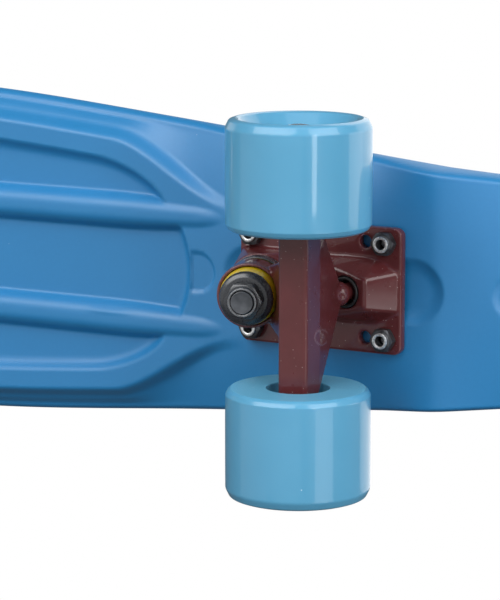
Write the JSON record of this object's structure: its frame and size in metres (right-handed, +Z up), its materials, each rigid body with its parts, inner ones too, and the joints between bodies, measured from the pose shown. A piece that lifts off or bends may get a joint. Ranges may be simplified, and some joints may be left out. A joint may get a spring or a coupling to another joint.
{
  "type": "cruiser skateboard",
  "caption": "Small moulded plastic cruiser board with ribs and rails under the deck, a kicktail, two leaning trucks and soft wheels on ball bearings.",
  "frame": {"origin": "on the ground, under the middle of the board's length and width", "axes": "+X towards the nose, +Y to the rider's left, +Z up; the board stands on its wheels"},
  "size_m": [0.56, 0.1572, 0.1323],
  "materials": {
    "deck_plastic": "moulded polypropylene, satin blue",
    "wheel_urethane": "smooth cast urethane, light blue",
    "truck_paint": "die cast, glossy maroon paint",
    "bushing_urethane": "cast urethane, yellow",
    "black_steel": "black zinc",
    "plain_steel": "bright zinc",
    "cup_plastic": "black"
  },
  "bodies": {
    "board": {"deck": "deck_plastic", "front_baseplate": "truck_paint", "front_pivot_cup": "cup_plastic", "front_kingpin": "black_steel", "front_board_side_washer": "black_steel", "front_board_side_bushing": "bushing_urethane", "front_road_side_bushing": "bushing_urethane", "front_road_side_washer": "black_steel", "front_kingpin_nut": "black_steel", "front_mount_bolt_outer_left": "plain_steel", "front_mount_nut_outer_left": "plain_steel", "front_mount_bolt_outer_right": "plain_steel", "front_mount_nut_outer_right": "plain_steel", "front_mount_bolt_inner_left": "plain_steel", "front_mount_nut_inner_left": "plain_steel", "front_mount_bolt_inner_right": "plain_steel", "front_mount_nut_inner_right": "plain_steel", "rear_baseplate": "truck_paint", "rear_pivot_cup": "cup_plastic", "rear_kingpin": "black_steel", "rear_board_side_washer": "black_steel", "rear_board_side_bushing": "bushing_urethane", "rear_road_side_bushing": "bushing_urethane", "rear_road_side_washer": "black_steel", "rear_kingpin_nut": "black_steel", "rear_mount_bolt_outer_left": "plain_steel", "rear_mount_nut_outer_left": "plain_steel", "rear_mount_bolt_outer_right": "plain_steel", "rear_mount_nut_outer_right": "plain_steel", "rear_mount_bolt_inner_left": "plain_steel", "rear_mount_nut_inner_left": "plain_steel", "rear_mount_bolt_inner_right": "plain_steel", "rear_mount_nut_inner_right": "plain_steel"},
    "front_hanger_set": {"front_hanger": "truck_paint", "front_axle": "plain_steel", "front_left_speed_washer": "plain_steel", "front_left_axle_nut": "plain_steel", "front_right_speed_washer": "plain_steel", "front_right_axle_nut": "plain_steel"},
    "front_left_wheel_set": {"front_left_wheel": "wheel_urethane", "front_left_bearing_inner": "plain_steel", "front_left_bearing_outer": "plain_steel"},
    "front_right_wheel_set": {"front_right_wheel": "wheel_urethane", "front_right_bearing_inner": "plain_steel", "front_right_bearing_outer": "plain_steel"},
    "rear_hanger_set": {"rear_hanger": "truck_paint", "rear_axle": "plain_steel", "rear_left_speed_washer": "plain_steel", "rear_left_axle_nut": "plain_steel", "rear_right_speed_washer": "plain_steel", "rear_right_axle_nut": "plain_steel"},
    "rear_left_wheel_set": {"rear_left_wheel": "wheel_urethane", "rear_left_bearing_inner": "plain_steel", "rear_left_bearing_outer": "plain_steel"},
    "rear_right_wheel_set": {"rear_right_wheel": "wheel_urethane", "rear_right_bearing_inner": "plain_steel", "rear_right_bearing_outer": "plain_steel"}
  },
  "joints": [
    {"name": "front_truck_lean", "type": "hinge", "parent": "board", "child": "front_hanger_set", "pos_m": [0.1809, 0, 0.07938], "axis": [0.7901, 0, 0.613], "range_deg": [-15, 15], "stiffness_Nm_per_rad": 25, "deforming": ["front_board_side_bushing", "front_road_side_bushing"]},
    {"name": "front_left_wheel_spin", "type": "hinge", "parent": "front_hanger_set", "child": "front_left_wheel_set", "pos_m": [0.181, 0.0557, 0.02978], "axis": [0, 1, 0], "continuous": true},
    {"name": "front_right_wheel_spin", "type": "hinge", "parent": "front_hanger_set", "child": "front_right_wheel_set", "pos_m": [0.181, -0.0557, 0.02978], "axis": [0, 1, 0], "continuous": true},
    {"name": "rear_truck_lean", "type": "hinge", "parent": "board", "child": "rear_hanger_set", "pos_m": [-0.1569, 0, 0.07938], "axis": [-0.7901, 0, 0.613], "range_deg": [-15, 15], "stiffness_Nm_per_rad": 25, "deforming": ["rear_board_side_bushing", "rear_road_side_bushing"]},
    {"name": "rear_left_wheel_spin", "type": "hinge", "parent": "rear_hanger_set", "child": "rear_left_wheel_set", "pos_m": [-0.157, 0.0557, 0.02978], "axis": [0, 1, 0], "continuous": true},
    {"name": "rear_right_wheel_spin", "type": "hinge", "parent": "rear_hanger_set", "child": "rear_right_wheel_set", "pos_m": [-0.157, -0.0557, 0.02978], "axis": [0, 1, 0], "continuous": true}
  ]
}
